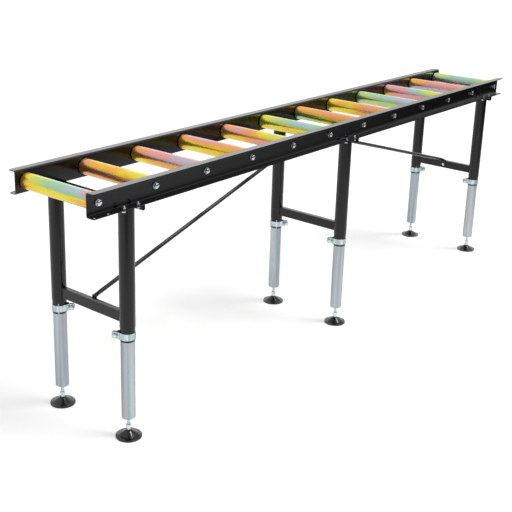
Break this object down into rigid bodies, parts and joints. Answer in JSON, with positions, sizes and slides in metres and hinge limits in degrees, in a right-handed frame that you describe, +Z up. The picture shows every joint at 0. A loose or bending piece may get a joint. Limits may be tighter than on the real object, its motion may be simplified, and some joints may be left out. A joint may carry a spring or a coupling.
{
  "type": "roller conveyor",
  "caption": "Free-standing roller conveyor: steel rollers between channel rails on telescopic legs with strap clamps, diagonal braces and levelling feet.",
  "frame": {"origin": "point on the floor under the middle of the conveyor", "axes": "+X along the conveyor, +Y from the front rail to the back rail, +Z up"},
  "size_m": [3, 0.454, 0.955],
  "materials": {
    "rail_paint": "satin black powder coat",
    "leg_paint": "satin black powder coat",
    "yellow_zinc": "yellow chromated zinc with rainbow tints",
    "zinc_plate": "bright blue-white zinc",
    "bright_steel": "ground steel",
    "black_plastic": "moulded black plastic",
    "gloss_black_plastic": "glossy moulded black plastic"
  },
  "bodies": {
    "frame": {"front_rail": "rail_paint", "back_rail": "rail_paint", "roller_axles": "bright_steel", "roller_bearings": "bright_steel", "axle_bolts": "zinc_plate", "axle_washers": "zinc_plate", "upper_legs": "leg_paint", "leg_crossbars": "leg_paint", "leg_angles": "leg_paint", "leg_bolts": "zinc_plate", "leg_nuts": "zinc_plate", "clamp_collars": "zinc_plate", "clamp_bolts": "zinc_plate", "clamp_nuts": "zinc_plate", "left_brace": "leg_paint", "right_brace": "leg_paint", "brace_bolts": "zinc_plate", "brace_nuts": "zinc_plate"},
    "roller_01": {"roller_01_tube": "yellow_zinc", "roller_01_caps": "black_plastic"},
    "roller_02": {"roller_02_tube": "yellow_zinc", "roller_02_caps": "black_plastic"},
    "roller_03": {"roller_03_tube": "yellow_zinc", "roller_03_caps": "black_plastic"},
    "roller_04": {"roller_04_tube": "yellow_zinc", "roller_04_caps": "black_plastic"},
    "roller_05": {"roller_05_tube": "yellow_zinc", "roller_05_caps": "black_plastic"},
    "roller_06": {"roller_06_tube": "yellow_zinc", "roller_06_caps": "black_plastic"},
    "roller_07": {"roller_07_tube": "yellow_zinc", "roller_07_caps": "black_plastic"},
    "roller_08": {"roller_08_tube": "yellow_zinc", "roller_08_caps": "black_plastic"},
    "roller_09": {"roller_09_tube": "yellow_zinc", "roller_09_caps": "black_plastic"},
    "roller_10": {"roller_10_tube": "yellow_zinc", "roller_10_caps": "black_plastic"},
    "roller_11": {"roller_11_tube": "yellow_zinc", "roller_11_caps": "black_plastic"},
    "roller_12": {"roller_12_tube": "yellow_zinc", "roller_12_caps": "black_plastic"},
    "left_front_leg": {"left_front_lower_leg": "zinc_plate"},
    "left_front_spindle": {"left_front_spindle": "zinc_plate"},
    "left_front_foot": {"left_front_foot_pad": "gloss_black_plastic"},
    "left_rear_leg": {"left_rear_lower_leg": "zinc_plate"},
    "left_rear_spindle": {"left_rear_spindle": "zinc_plate"},
    "left_rear_foot": {"left_rear_foot_pad": "gloss_black_plastic"},
    "middle_front_leg": {"middle_front_lower_leg": "zinc_plate"},
    "middle_front_spindle": {"middle_front_spindle": "zinc_plate"},
    "middle_front_foot": {"middle_front_foot_pad": "gloss_black_plastic"},
    "middle_rear_leg": {"middle_rear_lower_leg": "zinc_plate"},
    "middle_rear_spindle": {"middle_rear_spindle": "zinc_plate"},
    "middle_rear_foot": {"middle_rear_foot_pad": "gloss_black_plastic"},
    "right_front_leg": {"right_front_lower_leg": "zinc_plate"},
    "right_front_spindle": {"right_front_spindle": "zinc_plate"},
    "right_front_foot": {"right_front_foot_pad": "gloss_black_plastic"},
    "right_rear_leg": {"right_rear_lower_leg": "zinc_plate"},
    "right_rear_spindle": {"right_rear_spindle": "zinc_plate"},
    "right_rear_foot": {"right_rear_foot_pad": "gloss_black_plastic"}
  },
  "joints": [
    {"name": "roller_01_spin", "type": "hinge", "parent": "frame", "child": "roller_01", "pos_m": [-1.452, 0, 0.912], "axis": [0, 1, 0], "continuous": true},
    {"name": "roller_02_spin", "type": "hinge", "parent": "frame", "child": "roller_02", "pos_m": [-1.188, 0, 0.912], "axis": [0, 1, 0], "continuous": true},
    {"name": "roller_03_spin", "type": "hinge", "parent": "frame", "child": "roller_03", "pos_m": [-0.924, 0, 0.912], "axis": [0, 1, 0], "continuous": true},
    {"name": "roller_04_spin", "type": "hinge", "parent": "frame", "child": "roller_04", "pos_m": [-0.66, 0, 0.912], "axis": [0, 1, 0], "continuous": true},
    {"name": "roller_05_spin", "type": "hinge", "parent": "frame", "child": "roller_05", "pos_m": [-0.396, 0, 0.912], "axis": [0, 1, 0], "continuous": true},
    {"name": "roller_06_spin", "type": "hinge", "parent": "frame", "child": "roller_06", "pos_m": [-0.132, 0, 0.912], "axis": [0, 1, 0], "continuous": true},
    {"name": "roller_07_spin", "type": "hinge", "parent": "frame", "child": "roller_07", "pos_m": [0.132, 0, 0.912], "axis": [0, 1, 0], "continuous": true},
    {"name": "roller_08_spin", "type": "hinge", "parent": "frame", "child": "roller_08", "pos_m": [0.396, 0, 0.912], "axis": [0, 1, 0], "continuous": true},
    {"name": "roller_09_spin", "type": "hinge", "parent": "frame", "child": "roller_09", "pos_m": [0.66, 0, 0.912], "axis": [0, 1, 0], "continuous": true},
    {"name": "roller_10_spin", "type": "hinge", "parent": "frame", "child": "roller_10", "pos_m": [0.924, 0, 0.912], "axis": [0, 1, 0], "continuous": true},
    {"name": "roller_11_spin", "type": "hinge", "parent": "frame", "child": "roller_11", "pos_m": [1.188, 0, 0.912], "axis": [0, 1, 0], "continuous": true},
    {"name": "roller_12_spin", "type": "hinge", "parent": "frame", "child": "roller_12", "pos_m": [1.452, 0, 0.912], "axis": [0, 1, 0], "continuous": true},
    {"name": "left_front_leg_slide", "type": "slide", "parent": "frame", "child": "left_front_leg", "axis": [0, 0, -1], "range_m": [-0.29, 0.06]},
    {"name": "left_front_level_screw", "type": "slide", "parent": "left_front_leg", "child": "left_front_spindle", "axis": [0, 0, -1], "range_m": [-0.024, 0.045]},
    {"name": "left_front_foot_tilt", "type": "hinge", "parent": "left_front_spindle", "child": "left_front_foot", "pos_m": [-1.325, -0.179, 0.014], "axis": [0, 1, 0], "range_deg": [-8, 8]},
    {"name": "left_rear_leg_slide", "type": "slide", "parent": "frame", "child": "left_rear_leg", "axis": [0, 0, -1], "range_m": [-0.29, 0.06]},
    {"name": "left_rear_level_screw", "type": "slide", "parent": "left_rear_leg", "child": "left_rear_spindle", "axis": [0, 0, -1], "range_m": [-0.024, 0.045]},
    {"name": "left_rear_foot_tilt", "type": "hinge", "parent": "left_rear_spindle", "child": "left_rear_foot", "pos_m": [-1.325, 0.179, 0.014], "axis": [0, 1, 0], "range_deg": [-8, 8]},
    {"name": "middle_front_leg_slide", "type": "slide", "parent": "frame", "child": "middle_front_leg", "axis": [0, 0, -1], "range_m": [-0.29, 0.06]},
    {"name": "middle_front_level_screw", "type": "slide", "parent": "middle_front_leg", "child": "middle_front_spindle", "axis": [0, 0, -1], "range_m": [-0.024, 0.045]},
    {"name": "middle_front_foot_tilt", "type": "hinge", "parent": "middle_front_spindle", "child": "middle_front_foot", "pos_m": [0, -0.179, 0.014], "axis": [0, 1, 0], "range_deg": [-8, 8]},
    {"name": "middle_rear_leg_slide", "type": "slide", "parent": "frame", "child": "middle_rear_leg", "axis": [0, 0, -1], "range_m": [-0.29, 0.06]},
    {"name": "middle_rear_level_screw", "type": "slide", "parent": "middle_rear_leg", "child": "middle_rear_spindle", "axis": [0, 0, -1], "range_m": [-0.024, 0.045]},
    {"name": "middle_rear_foot_tilt", "type": "hinge", "parent": "middle_rear_spindle", "child": "middle_rear_foot", "pos_m": [0, 0.179, 0.014], "axis": [0, 1, 0], "range_deg": [-8, 8]},
    {"name": "right_front_leg_slide", "type": "slide", "parent": "frame", "child": "right_front_leg", "axis": [0, 0, -1], "range_m": [-0.29, 0.06]},
    {"name": "right_front_level_screw", "type": "slide", "parent": "right_front_leg", "child": "right_front_spindle", "axis": [0, 0, -1], "range_m": [-0.024, 0.045]},
    {"name": "right_front_foot_tilt", "type": "hinge", "parent": "right_front_spindle", "child": "right_front_foot", "pos_m": [1.325, -0.179, 0.014], "axis": [0, 1, 0], "range_deg": [-8, 8]},
    {"name": "right_rear_leg_slide", "type": "slide", "parent": "frame", "child": "right_rear_leg", "axis": [0, 0, -1], "range_m": [-0.29, 0.06]},
    {"name": "right_rear_level_screw", "type": "slide", "parent": "right_rear_leg", "child": "right_rear_spindle", "axis": [0, 0, -1], "range_m": [-0.024, 0.045]},
    {"name": "right_rear_foot_tilt", "type": "hinge", "parent": "right_rear_spindle", "child": "right_rear_foot", "pos_m": [1.325, 0.179, 0.014], "axis": [0, 1, 0], "range_deg": [-8, 8]}
  ]
}
